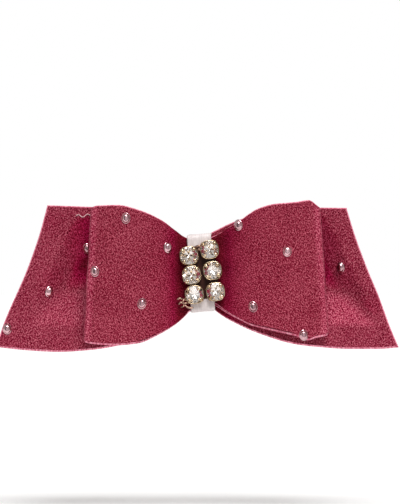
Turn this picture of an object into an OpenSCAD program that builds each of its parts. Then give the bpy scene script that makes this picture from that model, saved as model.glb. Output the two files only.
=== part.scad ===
// Bow barrette: a looped fabric bow with slanted tails, gathered by a satin
// wrap with a block of six cup-set crystals, on a French clip that opens.
// Millimetres. +X along the clip, +Z up as worn, +Y towards the head.
// The origin is the middle of the hair gap. Depths called "d" are measured
// forwards (towards -Y) from the front face of the clip's base plate.

/* [Clip] */
// Length of the base plate from the catch end to the middle
catch_reach = 41; // [39:0.5:43]
// Length of the base plate from the hinge end to the middle
hinge_reach = 39; // [38.5:0.5:41]
// Width of the base plate
plate_w = 9; // [9:0.5:10]
// Sheet thickness of the base plate and the arm
sheet_t = 0.9; // [0.8:0.05:1]
// Radius that the base plate is curved to
plate_radius = 150; // [140:5:170]
// Radius that the clasp arm is curved to
arm_radius = 1200; // [1000:50:2000]
// Radius that the tension bar is curved to
bar_radius = 400; // [380:10:420]
// Clear height of the hair gap at mid-length
hair_gap = 4.7; // [4.6:0.1:5]
// Width of the clasp arm
arm_w = 7.1; // [7.1:0.1:7.3]
// Width of the tension bar
bar_w = 5.2; // [5:0.1:5.3]
// Thickness of the tension bar
bar_t = 0.4; // [0.35:0.05:0.45]

/* [Hinge] */
// Distance of the hinge pin from the middle
pin_x = 37; // [36.5:0.1:37]
// Diameter of the hinge pin
pin_d = 1.8; // [1.6:0.1:1.8]
// Radial clearance of the pieces that turn on the pin
pin_clearance = 0.05; // [0.03:0.01:0.08]
// Thickness of the ears and lugs at the hinge
ear_t = 0.8; // [0.7:0.05:0.8]

/* [Catch] */
// Distance of the catch prongs from the middle
catch_x = 38; // [37.8:0.1:38.2]
// Width of a catch prong along the clip
prong_w = 4; // [3.6:0.1:4.2]
// Thickness of a catch prong
prong_t = 0.8; // [0.7:0.05:0.8]
// Distance of a prong's root from the clip's middle line
prong_z = 2.85; // [2.8:0.05:2.9]
// How far a barb hooks over the arm
barb_hook = 0.65; // [0.5:0.05:0.7]
// Width of the arm's end that the prongs pass through
arm_end_w = 10.6; // [10:0.2:11]

/* [Fabric] */
// Thickness of the bow's fabric
fabric_t = 1; // [0.8:0.1:1.2]
// Half width of the gathered part of the bow
pinch_half = 3.2; // [3:0.1:3.4]
// Half height of the gathered part of the bow
pinch_h = 9.4; // [9:0.1:9.5]

/* [Loops] */
// Reach of the left loop's outer fold from the middle
left_reach = 30.2; // [29:0.2:31]
// Reach of the right loop's outer fold from the middle
right_reach = 32; // [30:0.2:33]
// Lean of the left loop's outer fold in degrees
left_lean = 3.1; // [0:0.1:5]
// Lean of the right loop's outer fold in degrees
right_lean = 4.3; // [0:0.1:5]
// Depth of the loops' front faces
loop_front = 10.3; // [9:0.1:10.5]
// Height of the left loop above the middle line
left_top = 18.4; // [16:0.1:19]
// Height of the left loop below the middle line
left_bottom = 18.1; // [16:0.1:19]
// Height of the right loop above the middle line
right_top = 19.6; // [16:0.1:20]
// Height of the right loop below the middle line
right_bottom = 16.3; // [15:0.1:18]

/* [Tails] */
// Reach of the left tail's top corner
left_tail_top = 41; // [38:0.2:44]
// Reach of the left tail's bottom corner
left_tail_bottom = 54.4; // [50:0.2:55.4]
// Reach of the right tail's top corner
right_tail_top = 38.4; // [37:0.2:44]
// Reach of the right tail's bottom corner
right_tail_bottom = 52.1; // [50:0.2:55]
// Height of the tails above the middle line
tail_top = 18.2; // [16:0.1:19]
// Height of the tails below the middle line
tail_bottom = 20; // [17:0.1:20.5]

/* [Centre] */
// Width of the satin ribbon round the centre
wrap_w = 6.5; // [6:0.1:7]
// Thickness of the satin ribbon
wrap_t = 0.5; // [0.4:0.05:0.6]
// Thickness of the gathering thread's winding
thread_t = 0.4; // [0.3:0.05:0.4]
// Thickness of the glue pad
pad_t = 0.5; // [0.4:0.05:0.5]

/* [Cup chain] */
// Outer diameter of a cup
cup_d = 5.1; // [4.8:0.1:5.1]
// Height of a cup
cup_h = 1.8; // [1.6:0.1:2]
// Diameter of a crystal's girdle
crystal_d = 4.6; // [4:0.1:4.6]
// Lean of the two columns in degrees, top to the left
column_lean = 8; // [0:0.5:10]
// Spacing of the cups in the left column
left_pitch = 5.2; // [5.2:0.1:5.6]
// Spacing of the cups in the right column
right_pitch = 5.6; // [5.2:0.1:5.8]
// Middle of the left column, across and up
left_column = [-2.7, 0];
// Middle of the right column, across and up
right_column = [2.8, 1.2];
// Thickness of a chain link
link_t = 0.35; // [0.3:0.05:0.4]

/* [Studs] */
// Width of a stud
stud_w = 2.4; // [1.8:0.1:2.6]
// Length of a stud
stud_l = 3.3; // [2.6:0.1:3.4]
// Places of the studs on the tails, across and up
tail_studs = [[-40.5, -4.4], [-51.6, -14.3], [-30.4, 7], [36.8, 2]];
// Places of the studs on the loops, across and up
loop_studs = [[-28.2, 1], [-20, 15], [-15.8, -7.5], [-9, 7.3],
              [9.6, 13.2], [22.5, 6.3], [13.5, -8.3], [26.8, -15.8]];

/* [Hidden] */
$fn = 48;
wide_fn = 720;

// Heights of the clip's pieces behind the base plate's front face, at mid-length
bar_face = 5.94;
arm_face = bar_face + hair_gap;
plate_y = -(bar_face + hair_gap / 2);
pin_y = plate_y + 8.6;
pin_r = pin_d / 2;
bore_r = pin_r + pin_clearance;
lug_r = 1.7;
ear_r = 1.9;
eye_r = bore_r + bar_t;
ear_z = plate_w / 2 - ear_t;
lug_z = arm_w / 2 - ear_t;

// Catch: heights above the base plate's front face at mid-length
root_y = plate_y + 6.6;
root_r = 0.6;
root_clearance = 0.04;
barb_y = plate_y + 12.2 + (arm_face - 10.64);
prong_face = prong_z + prong_t / 2;

// Depths of the layers in front of the base plate at the gathered centre
tail_back = pad_t + thread_t;
tail_front = tail_back + fabric_t;
loop_back = tail_front + 0.1;
pinch_front = 5.3;
crest_x = 16;
fold_r = (loop_front - loop_back) / 2;
fold_d = loop_back + fold_r;
thread_inset = 0.25;
wrap_front = pinch_front + thread_t + 0.05 + wrap_t;
cup_back = wrap_front + link_t;

// A strip curved about the Z direction, its front face through [0, face_y]
module arc_strip(radius, from_x, to_x, face_y, thick, width) {
  from_a = asin(from_x / radius);
  to_a = asin(to_x / radius);
  translate([0, face_y + radius, 0])
    rotate([0, 0, from_a - 90])
      rotate_extrude(angle = to_a - from_a, $fn = wide_fn)
        translate([radius - thick, -width / 2])
          square([thick, width]);
}

// A plate in the XY plane, mirrored above and below the middle line
module both_sides(from_z, thick) {
  for (side = [0, 1])
    mirror([0, 0, side])
      translate([0, 0, from_z])
        linear_extrude(thick)
          children();
}

// Everything behind the base plate's curved front face
module behind_plate_face() {
  intersection() {
    children();
    translate([0, plate_y + plate_radius, 0])
      cylinder(r = plate_radius, h = 40, center = true, $fn = wide_fn);
  }
}

module hinge_ears() {
  foot_y = plate_y + 4;
  difference() {
    behind_plate_face()
      both_sides(ear_z, ear_t) {
        translate([pin_x, pin_y])
          circle(ear_r);
        translate([pin_x - ear_r, foot_y])
          square([2 * ear_r, pin_y - foot_y]);
      }
    translate([pin_x, pin_y, 0])
      cylinder(r = pin_r, h = plate_w + 2, center = true);
  }
}

// Staple over the free end of the tension bar
module bar_keeper() {
  keeper_w = 1.6;
  post_t = 0.7;
  post_z = bar_w / 2 + 0.15;
  roof_y = plate_y + 7.8;
  behind_plate_face()
    both_sides(post_z, post_t)
      translate([-34.8, plate_y + 3.6])
        square([keeper_w, roof_y + post_t - plate_y - 3.6]);
  translate([-34.8, roof_y, -post_z - 0.1])
    cube([keeper_w, post_t, 2 * post_z + 0.2]);
}

// Block with two round grooves that the catch prongs rock in
module catch_saddle() {
  saddle_w = prong_w + 1;
  saddle_top = root_y + 0.45;
  slot_half = prong_t / 2 + 0.12;
  difference() {
    behind_plate_face()
      translate([-catch_x - saddle_w / 2, plate_y + 4, -plate_w / 2])
        cube([saddle_w, saddle_top - plate_y - 4, plate_w]);
    for (side = [-1, 1])
      translate([-catch_x, root_y, side * prong_z]) {
        rotate([0, 90, 0])
          cylinder(r = root_r + root_clearance, h = saddle_w + 2, center = true);
        translate([-saddle_w, 0, -slot_half])
          cube([2 * saddle_w, 2, 2 * slot_half]);
      }
  }
}

module base_plate() {
  color("silver")
    union() {
      difference() {
        arc_strip(plate_radius, -catch_reach, hinge_reach, plate_y, sheet_t, plate_w);
        for (side = [-1, 1])
          translate([-catch_x, root_y, side * prong_z])
            rotate([0, 90, 0])
              cylinder(r = root_r + root_clearance, h = prong_w + 3, center = true);
      }
      hinge_ears();
      bar_keeper();
      catch_saddle();
    }
}

module hinge_pin() {
  head_r = 1.35;
  head_t = 0.5;
  color("silver")
    translate([pin_x, pin_y, 0]) {
      cylinder(r = pin_r, h = plate_w, center = true);
      for (side = [0, 1])
        mirror([0, 0, side])
          translate([0, 0, plate_w / 2])
            cylinder(r1 = head_r, r2 = head_r - 0.3, h = head_t);
    }
}

// Wide flat end of the arm, with the window that the prongs pass through
module arm_end(face_y) {
  end_from = 43;
  end_to = 34.4;
  corner = 2;
  window_w = prong_w + 1.2;
  window_h = 2 * (prong_face + 0.15);
  end_y = face_y + arm_radius - sqrt(arm_radius * arm_radius - catch_x * catch_x);
  translate([-catch_x, end_y + sheet_t, 0])
    rotate([0, 0, -asin(catch_x / arm_radius)])
      rotate([90, 0, 0])
        linear_extrude(sheet_t)
          difference() {
            union() {
              for (side = [-1, 1])
                translate([catch_x - end_from + corner, side * (arm_end_w / 2 - corner)])
                  circle(corner);
              translate([catch_x - end_from, corner - arm_end_w / 2])
                square([corner, arm_end_w - 2 * corner]);
              translate([catch_x - end_from + corner, -arm_end_w / 2])
                square([end_from - end_to - corner, arm_end_w]);
            }
            square([window_w, window_h], center = true);
          }
}

module clasp_arm() {
  face_y = plate_y + arm_face;
  strip_end = -catch_x + prong_w / 2 + 0.8;
  color("silver")
    difference() {
      union() {
        arc_strip(arm_radius, strip_end, pin_x + lug_r, face_y, sheet_t, arm_w);
        arm_end(face_y);
        both_sides(lug_z, ear_t) {
          translate([pin_x, pin_y])
            circle(lug_r);
          translate([pin_x - lug_r, pin_y])
            square([2 * lug_r, face_y + sheet_t - pin_y]);
        }
      }
      translate([pin_x, pin_y, 0])
        cylinder(r = bore_r, h = plate_w, center = true);
    }
}

module tension_bar() {
  free_end = -34.2;
  face_y = plate_y + bar_face - bar_t;
  color("silver")
    difference() {
      union() {
        arc_strip(bar_radius, free_end, pin_x, face_y, bar_t, bar_w);
        translate([pin_x, pin_y, 0])
          cylinder(r = eye_r, h = bar_w, center = true);
      }
      translate([pin_x, pin_y, 0])
        cylinder(r = bore_r, h = plate_w, center = true);
    }
}

// One catch prong: round root, blade, barb and a finger tab that flares outwards
module catch_prong() {
  blade_from = -catch_x - prong_w / 2;
  tab_reach = 3.6;
  tab_flare = 1.6;
  tab_y = root_y + 1.1;
  tab_h = 2.7;
  color("gainsboro") {
    translate([-catch_x, root_y, prong_z])
      rotate([0, 90, 0])
        cylinder(r = root_r, h = prong_w, center = true);
    translate([blade_from, root_y, prong_z - prong_t / 2])
      cube([prong_w, barb_y + 0.5 - root_y, prong_t]);
    translate([blade_from, 0, 0])
      rotate([90, 0, 90])
        linear_extrude(prong_w)
          polygon([[barb_y, prong_face - prong_t], [barb_y, prong_face + barb_hook],
                   [barb_y + 0.25, prong_face + barb_hook], [barb_y + 1, prong_face - prong_t / 2],
                   [barb_y + 1, prong_face - prong_t]]);
    translate([0, tab_y + tab_h, 0])
      rotate([90, 0, 0])
        linear_extrude(tab_h)
          polygon([[blade_from + 0.2, prong_face - prong_t], [blade_from + 0.2, prong_face],
                   [blade_from - tab_reach, prong_face + tab_flare],
                   [blade_from - tab_reach, prong_face + tab_flare - prong_t]]);
  }
}

module catch_prong_upper() {
  catch_prong();
}

module catch_prong_lower() {
  mirror([0, 0, 1])
    catch_prong();
}

module glue_pad() {
  pad_l = 22;
  pad_w = 7;
  color("ivory")
    arc_strip(plate_radius + pad_t, -pad_l / 2, pad_l / 2, plate_y - pad_t, pad_t, pad_w);
}

// Height of a bow edge at a distance x from the middle: it rises from the
// gathered centre and levels off at full_x
function edge(x, low, high, full_x) =
  low + (high - low) * sin(90 * min(1, max(0, (x - pinch_half) / (full_x - pinch_half))));

// Points along one bow edge, from the middle outwards
function edge_points(sign_x, sign_z, low, high, full_x) =
  [for (x = [pinch_half : 2 : full_x + 1]) [sign_x * x, sign_z * edge(x, low, high, full_x)]];

function reversed(points) = [for (i = [len(points) - 1 : -1 : 0]) points[i]];

// Extrudes an outline drawn in X and Z through the whole depth of the bow
module bow_cut() {
  translate([0, plate_y, 0])
    rotate([90, 0, 0])
      linear_extrude(12)
        children();
}

module tails_outline() {
  polygon(concat(
    edge_points(1, 1, pinch_h, tail_top, 26),
    [[right_tail_top, tail_top - 0.3], [right_tail_bottom, -tail_bottom + 1]],
    reversed(edge_points(1, -1, 7.8, tail_bottom - 0.7, 32)),
    edge_points(-1, -1, pinch_h, tail_bottom, 32),
    [[-left_tail_bottom, -tail_bottom + 1.2], [-left_tail_top, tail_top + 0.2]],
    reversed(edge_points(-1, 1, pinch_h, tail_top, 26))));
}

module tails() {
  color("palevioletred")
    translate([0, plate_y - tail_back, 0])
      rotate([90, 0, 0])
        linear_extrude(fabric_t)
          tails_outline();
}

// Rises from 0 to 1 with t, level at both ends
function eased(t) = pow(sin(90 * min(1, t)), 2);

// Depth of a loop's front face at a distance x from the middle
function loop_face(x, reach) =
  x <= reach - fold_r
    ? pinch_front + (loop_front - pinch_front) * eased((x - pinch_half) / (crest_x - pinch_half))
    : fold_d + sqrt(max(0, fold_r * fold_r - pow(x - reach + fold_r, 2)));

// Section of one loop in X and depth, from the pinch round the outer fold and back
module loop_section(reach, inset) {
  from_x = pinch_half - 0.7 + 2 * inset;
  to_x = reach - fold_r;
  steps = 14;
  polygon(concat(
    [for (i = [0 : steps - 1])
      let (x = from_x + (to_x - from_x) * i / steps)
      [x, -loop_face(max(x, pinch_half), reach) + inset]],
    [for (a = [-90 : 15 : 90])
      [to_x + (fold_r - inset) * cos(a), -fold_d + (fold_r - inset) * sin(a)]],
    [[from_x, -loop_back - inset]]));
}

module loop(reach, lean) {
  rotate([0, -lean, 0])
    translate([0, plate_y, -25])
      linear_extrude(50)
        difference() {
          loop_section(reach, 0);
          loop_section(reach, fabric_t);
        }
}

// Outline of one loop in X and Z; its outer end is open, so only the edges trim
module loop_outline(top, bottom, low_bottom, top_x, bottom_x) {
  far = 40;
  polygon(concat(
    [[0, -low_bottom], [0, pinch_h]],
    edge_points(1, 1, pinch_h, top, top_x),
    [[far, top], [far, -bottom]],
    reversed(edge_points(1, -1, low_bottom, bottom, bottom_x))));
}

module front_bow() {
  color("indianred") {
    translate([-pinch_half, plate_y - pinch_front, -7.8])
      cube([2 * pinch_half, pinch_front - loop_back, pinch_h + 7.8]);
    intersection() {
      loop(right_reach, right_lean);
      bow_cut()
        loop_outline(right_top, right_bottom, 7.8, 24, 26);
    }
    mirror([1, 0, 0])
      intersection() {
        loop(left_reach, left_lean);
        bow_cut()
          loop_outline(left_top, left_bottom, pinch_h, 24, 18);
      }
  }
}

// Outline of the gathered fabric in depth and Z, grown outwards
module gathered_outline(grow) {
  translate([-pinch_front - grow, -pinch_h - thread_inset - grow])
    square([pinch_front - tail_back + 2 * grow, 2 * (pinch_h + thread_inset + grow)]);
}

module pinch_thread() {
  thread_w = 4;
  color("brown")
    translate([-thread_w / 2, plate_y, 0])
      rotate([90, 0, 90])
        linear_extrude(thread_w)
          difference() {
            gathered_outline(thread_t);
            gathered_outline(0);
          }
}

// Outline of the ribbon's path: wide in front of the bow, narrow behind the plate
module wrap_path(grow) {
  corner = 0.3;
  half_h = pinch_h + thread_inset + thread_t + 0.05 - corner;
  front = pinch_front + thread_t + 0.05 - corner;
  hull()
    for (side = [-1, 1]) {
      translate([-front, side * half_h])
        circle(corner + grow, $fn = 24);
      translate([-0.45, side * half_h])
        circle(corner + grow, $fn = 24);
      translate([sheet_t - 0.15, side * (plate_w / 2 - 0.1)])
        circle(corner + grow, $fn = 24);
    }
}

module centre_wrap() {
  color("whitesmoke")
    translate([-wrap_w / 2, plate_y, 0])
      rotate([90, 0, 90])
        linear_extrude(wrap_w)
          difference() {
            wrap_path(wrap_t);
            wrap_path(0);
          }
}

// Place of a cup: step is 1 at the top, 0 in the middle and -1 at the bottom
function cup_place(column, pitch, step) =
  column + step * pitch * [-sin(column_lean), cos(column_lean)];

// Puts a piece of the cup chain on the wrap, its own Z axis pointing forwards
module on_wrap(place, depth) {
  translate([place[0], plate_y - depth, place[1]])
    rotate([90, 0, 0])
      children();
}

module cup(column, pitch, step) {
  wall = 0.2;
  floor_t = 0.3;
  prong_d = 0.8;
  color("goldenrod")
    on_wrap(cup_place(column, pitch, step), cup_back)
      difference() {
        union() {
          cylinder(d = cup_d, h = cup_h);
          for (a = [45 : 90 : 315])
            rotate([0, 0, a + column_lean])
              translate([cup_d / 2 - prong_d / 2, 0, 0])
                cylinder(d = prong_d, h = cup_h + 0.5);
        }
        translate([0, 0, floor_t])
          cylinder(d = cup_d - 2 * wall, h = cup_h + 1);
      }
}

module crystal(column, pitch, step) {
  girdle_h = 1.25;
  crown_h = 0.8;
  color("azure")
    on_wrap(cup_place(column, pitch, step), cup_back + 0.35) {
      cylinder(d1 = 1, d2 = crystal_d, h = girdle_h, $fn = 8);
      translate([0, 0, girdle_h])
        cylinder(d1 = crystal_d, d2 = crystal_d * 0.58, h = crown_h, $fn = 8);
    }
}

// A link under two neighbouring cups; step is the upper cup's
module chain_link(column, pitch, step) {
  link_w = 1.4;
  gap = 0.2;
  color("darkgoldenrod")
    on_wrap(cup_place(column, pitch, step - 0.5), wrap_front)
      rotate([0, 0, column_lean])
        translate([-link_w / 2, gap / 2 - pitch / 2, 0])
          cube([link_w, pitch - gap, link_t]);
}

// Cut end of the chain beside the bottom left cup
module chain_tail() {
  tail_l = 2.6;
  tail_lean = 20;
  color("darkgoldenrod")
    on_wrap(cup_place(left_column, left_pitch, -1), cup_back + 0.6)
      rotate([0, 0, 180 + tail_lean])
        translate([cup_d / 2 + 0.03, -0.9, 0])
          difference() {
            cube([tail_l, 1.8, 0.5]);
            translate([0.9, 0.55, -1])
              cube([tail_l, 0.7, 3]);
          }
}

// An oval dome, its back on the fabric
module stud(place, depth) {
  height = 1.1;
  round_r = stud_w / 2;
  spread = (stud_l - stud_w) / 2;
  color("lightgray")
    translate([place[0], plate_y - depth, place[1]])
      rotate([90, 0, 0])
        intersection() {
          hull()
            for (side = [-1, 1])
              translate([0, side * spread, 0])
                sphere(round_r, $fn = 20);
          translate([-5, -5, 0])
            cube([10, 10, height]);
        }
}

module tail_stud(i) {
  stud(tail_studs[i], tail_front + 0.02);
}

module loop_stud(i) {
  place = loop_studs[i];
  reach = place[0] < 0 ? left_reach : right_reach;
  lean = tan(place[0] < 0 ? left_lean : right_lean);
  x = abs(place[0]) + lean * place[1];
  highest = max([for (side = [-1, 0, 1]) loop_face(x + side * stud_w / 2, reach)]);
  stud(place, highest + 0.05);
}

base_plate();
hinge_pin();
clasp_arm();
tension_bar();
catch_prong_upper();
catch_prong_lower();
glue_pad();
tails();
front_bow();
pinch_thread();
centre_wrap();
cup(left_column, left_pitch, 1);  // cup_left_top
cup(left_column, left_pitch, 0);  // cup_left_middle
cup(left_column, left_pitch, -1);  // cup_left_bottom
cup(right_column, right_pitch, 1);  // cup_right_top
cup(right_column, right_pitch, 0);  // cup_right_middle
cup(right_column, right_pitch, -1);  // cup_right_bottom
crystal(left_column, left_pitch, 1);  // crystal_left_top
crystal(left_column, left_pitch, 0);  // crystal_left_middle
crystal(left_column, left_pitch, -1);  // crystal_left_bottom
crystal(right_column, right_pitch, 1);  // crystal_right_top
crystal(right_column, right_pitch, 0);  // crystal_right_middle
crystal(right_column, right_pitch, -1);  // crystal_right_bottom
chain_link(left_column, left_pitch, 1);  // link_left_upper
chain_link(left_column, left_pitch, 0);  // link_left_lower
chain_link(right_column, right_pitch, 1);  // link_right_upper
chain_link(right_column, right_pitch, 0);  // link_right_lower
chain_tail();
for (i = [0 : 3])
  tail_stud(i);
for (i = [0 : 7])
  loop_stud(i);
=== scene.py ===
"""The looks of the bow barrette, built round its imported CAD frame.

Metres, in the row frame: +X along the clip, +Z up as worn, the bow faces -Y.
The small sizes below are in millimetres and become metres through MM.
A depth is measured forwards, towards -Y, from the base plate's front face.
"""
import math
import random

import bmesh
import bpy
import numpy as np
from mathutils import Matrix, Vector
from mathutils.bvhtree import BVHTree


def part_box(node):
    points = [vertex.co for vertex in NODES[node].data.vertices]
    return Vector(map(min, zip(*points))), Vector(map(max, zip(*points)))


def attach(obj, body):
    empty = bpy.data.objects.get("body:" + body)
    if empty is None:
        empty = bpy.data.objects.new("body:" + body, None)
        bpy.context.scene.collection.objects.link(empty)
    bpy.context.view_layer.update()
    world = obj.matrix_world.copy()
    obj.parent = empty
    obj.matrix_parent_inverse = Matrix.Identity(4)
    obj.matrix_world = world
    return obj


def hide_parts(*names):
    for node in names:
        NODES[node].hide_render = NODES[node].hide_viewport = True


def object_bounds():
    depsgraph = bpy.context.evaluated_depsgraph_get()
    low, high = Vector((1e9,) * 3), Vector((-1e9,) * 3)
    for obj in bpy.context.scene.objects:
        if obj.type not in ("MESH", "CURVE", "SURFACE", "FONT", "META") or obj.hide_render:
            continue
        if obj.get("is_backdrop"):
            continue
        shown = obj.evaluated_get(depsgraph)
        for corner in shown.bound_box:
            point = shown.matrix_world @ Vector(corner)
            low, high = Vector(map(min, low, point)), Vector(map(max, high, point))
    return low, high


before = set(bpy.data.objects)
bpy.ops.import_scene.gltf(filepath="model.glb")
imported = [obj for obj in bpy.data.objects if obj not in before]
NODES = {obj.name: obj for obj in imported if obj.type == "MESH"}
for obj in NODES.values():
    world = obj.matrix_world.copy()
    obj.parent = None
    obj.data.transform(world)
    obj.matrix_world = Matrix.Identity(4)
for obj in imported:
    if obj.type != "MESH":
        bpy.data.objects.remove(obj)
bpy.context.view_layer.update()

MM = 0.001
ROOT = "bow_and_base"
# Front face of the base plate, in millimetres
PLATE_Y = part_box("base_plate")[0][1] / MM
# A cloth's painted light-and-shade value where it paints shade on cloth that faces down, and where it
# paints none
SHADED_MARK, UNSHADED_MARK = 0.25, 0.6


def box_mm(node):
    """The corners of a CAD node in millimetres, as two arrays."""
    low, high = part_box(node)
    return np.array(low) / MM, np.array(high) / MM


def smooth_step(x):
    """0 below 0, 1 above 1, and a smooth rise between them."""
    x = np.clip(x, 0, 1)
    return x * x * (3 - 2 * x)


def soft_min(a, b, blend):
    """The lower of two values, with the corner where they cross rounded over about blend."""
    h = np.clip(0.5 + 0.5 * (b - a) / blend, 0, 1)
    return b * (1 - h) + a * h - blend * h * (1 - h)


def smooth_curve(points, x):
    """Height at x of a smooth curve through a few points that never overshoots them."""
    px, py = np.array(points, dtype=float).T
    chord = np.diff(py) / np.diff(px)
    slope = np.concatenate([chord[:1], (chord[:-1] + chord[1:]) / 2, chord[-1:]])
    inner = chord[:-1] * chord[1:]
    slope[1:-1] = np.where(inner > 0, inner / np.where(inner > 0, slope[1:-1], 1), 0)
    x = np.clip(x, px[0], px[-1])
    k = np.clip(np.searchsorted(px, x, side="right") - 1, 0, len(px) - 2)
    width = px[k + 1] - px[k]
    t = (x - px[k]) / width
    return (py[k] * (1 + 2 * t) * (1 - t) ** 2 + slope[k] * width * t * (1 - t) ** 2
            + py[k + 1] * t * t * (3 - 2 * t) + slope[k + 1] * width * t * t * (t - 1))


# ---------------------------------------------------------------- materials

def new_material(name):
    """A material, its Principled shader, and a function that adds nodes to it."""
    material = bpy.data.materials.new(name)
    material.use_nodes = True
    tree = material.node_tree
    shader = tree.nodes["Principled BSDF"]

    def add(kind, inputs=None, **settings):
        node = tree.nodes.new("ShaderNode" + kind)
        for key, value in settings.items():
            setattr(node, key, value)
        for key, value in (inputs or {}).items():
            if isinstance(value, bpy.types.NodeSocket):
                tree.links.new(value, node.inputs[key])
            else:
                node.inputs[key].default_value = value
        return node

    def link(socket, entry):
        tree.links.new(socket, shader.inputs[entry])

    return material, shader, add, link


def ramp(add, fac, stops):
    """A colour ramp from (position, colour) pairs."""
    node = add("ValToRGB", {"Fac": fac})
    elements = node.color_ramp.elements
    while len(elements) < len(stops):
        elements.new(0.5)
    for element, (position, color) in zip(elements, stops):
        element.position = position
        element.color = (*color, 1)
    return node.outputs["Color"]


def map_range(add, value, low, high):
    """A value from 0 to 1, brought to the range from low to high."""
    return add("MapRange", {"Value": value, "To Min": low, "To Max": high}).outputs["Result"]


def crepe_material(name, turn, even, shade_tint):
    """Matt crepe with a fine pebbled grain, in strip coordinates of millimetres.

    turn is the angle of the weave. A value on the mesh paints light and shade into the colour: 0 is
    the deepest painted shade, of the gathers by the ribbon, the shaded mark is painted shade on cloth
    that faces down, the unshaded mark adds none, and 1 is painted highlight on cloth that faces up.
    The last two arguments are the tints at the unshaded and the shaded marks.
    """
    dark, mid, light = (0.070, 0.000, 0.004), (0.222, 0.008, 0.030), (0.50, 0.102, 0.145)
    # tints of the deepest painted shade, at the gathers, and of the painted highlight on cloth that faces
    # up
    gather_shade, highlight_tint = (0.54, 0.20, 0.29), (1.50, 2.05, 1.95)
    material, shader, add, link = new_material(name)
    cloth = add("UVMap", uv_map="Weave").outputs["UV"]
    turned = add("Mapping", {"Vector": cloth, "Rotation": (0, 0, math.radians(turn)),
                             "Scale": (1.0, 0.7, 1.0)}).outputs["Vector"]
    grain = add("TexNoise", {"Vector": turned, "Scale": 3.4, "Detail": 2.0, "Roughness": 0.8,
                             "Distortion": 0.4}).outputs["Fac"]
    blotch = add("TexNoise", {"Vector": cloth, "Scale": 0.11, "Detail": 3.0}).outputs["Fac"]
    tone = add("Math", {0: grain, 1: map_range(add, blotch, -0.035, 0.035)}, operation="ADD")
    dyed = ramp(add, tone.outputs["Value"], [(0.385, dark), (0.5, mid), (0.615, light)])
    # painted light and shade: shade at the gathers and on downward faces, highlight on upward faces and
    # folds
    shading_value = add("Attribute", attribute_name="PaintedShading").outputs["Fac"]
    painted_shading = ramp(add, shading_value, [(0, gather_shade), (SHADED_MARK, shade_tint), (UNSHADED_MARK, even), (1, highlight_tint)])
    link(add("VectorMath", {0: dyed, 1: painted_shading}, operation="MULTIPLY").outputs["Vector"], "Base Color")
    bump = add("Bump", {"Height": grain, "Strength": 0.6, "Distance": 0.12 * MM})
    link(bump.outputs["Normal"], "Normal")
    link(map_range(add, grain, 0.50, 0.66), "Roughness")
    shader.inputs["Specular IOR Level"].default_value = 0.01
    shader.inputs["Sheen Weight"].default_value = 0.05
    shader.inputs["Sheen Roughness"].default_value = 0.35
    shader.inputs["Sheen Tint"].default_value = (0.95, 0.60, 0.60, 1)
    return material


def cut_edge_material():
    """The pale core that shows where the fabric is cut."""
    material, shader, add, link = new_material("fabric_cut_edge")
    cloth = add("UVMap", uv_map="Weave").outputs["UV"]
    fuzz = add("TexNoise", {"Vector": cloth, "Scale": 3.0, "Detail": 3.0}).outputs["Fac"]
    link(ramp(add, fuzz, [(0.3, (0.46, 0.06, 0.12)), (0.55, (0.80, 0.25, 0.35)),
                          (0.75, (0.96, 0.50, 0.59))]), "Base Color")
    bump = add("Bump", {"Height": fuzz, "Strength": 0.6, "Distance": 0.2 * MM})
    link(bump.outputs["Normal"], "Normal")
    shader.inputs["Roughness"].default_value = 0.9
    shader.inputs["Specular IOR Level"].default_value = 0.05
    return material


def satin_material():
    """Off-white satin ribbon with fine cross ribs."""
    material, shader, add, link = new_material("white_satin")
    cloth = add("UVMap", uv_map="Weave").outputs["UV"]
    ribs = add("TexWave", {"Vector": cloth, "Scale": 1.1, "Distortion": 0.6, "Detail": 1.0},
               bands_direction="X").outputs["Fac"]
    stretched = add("Mapping", {"Vector": cloth, "Scale": (0.35, 2.4, 1.0)}).outputs["Vector"]
    threads = add("TexNoise", {"Vector": stretched, "Scale": 1.5, "Detail": 3.0}).outputs["Fac"]
    link(ramp(add, threads, [(0.3, (0.66, 0.58, 0.57)), (0.6, (0.77, 0.70, 0.69))]), "Base Color")
    height = add("Math", {0: ribs, 1: threads}, operation="ADD").outputs["Value"]
    bump = add("Bump", {"Height": height, "Strength": 0.25, "Distance": 0.1 * MM})
    link(bump.outputs["Normal"], "Normal")
    link(map_range(add, threads, 0.32, 0.5), "Roughness")
    shader.inputs["Sheen Weight"].default_value = 0.15
    return material


def metal_material(name, dark, light, rough, stretch=(1, 1, 1), scale=900.0, bump_strength=0.12):
    """Metal with a drawn or tumbled grain; stretch sets which way the grain runs."""
    material, shader, add, link = new_material(name)
    place = add("TexCoord").outputs["Object"]
    along = add("Mapping", {"Vector": place, "Scale": stretch}).outputs["Vector"]
    grain = add("TexNoise", {"Vector": along, "Scale": scale, "Detail": 4.0}).outputs["Fac"]
    smear = add("TexNoise", {"Vector": along, "Scale": scale * 0.25, "Detail": 3.0}).outputs["Fac"]
    link(ramp(add, smear, [(0.35, dark), (0.65, light)]), "Base Color")
    link(map_range(add, grain, rough * 0.7, rough * 1.5), "Roughness")
    bump = add("Bump", {"Height": grain, "Strength": bump_strength, "Distance": 0.03 * MM})
    link(bump.outputs["Normal"], "Normal")
    shader.inputs["Metallic"].default_value = 1.0
    return material


def felt_material():
    """Pale pressed felt."""
    material, shader, add, link = new_material("pad_felt")
    place = add("TexCoord").outputs["Object"]
    fibres = add("TexNoise", {"Vector": place, "Scale": 2500.0, "Detail": 5.0}).outputs["Fac"]
    link(ramp(add, fibres, [(0.3, (0.62, 0.58, 0.52)), (0.7, (0.84, 0.81, 0.77))]), "Base Color")
    bump = add("Bump", {"Height": fibres, "Strength": 0.6, "Distance": 0.15 * MM})
    link(bump.outputs["Normal"], "Normal")
    shader.inputs["Roughness"].default_value = 0.95
    return material


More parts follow.
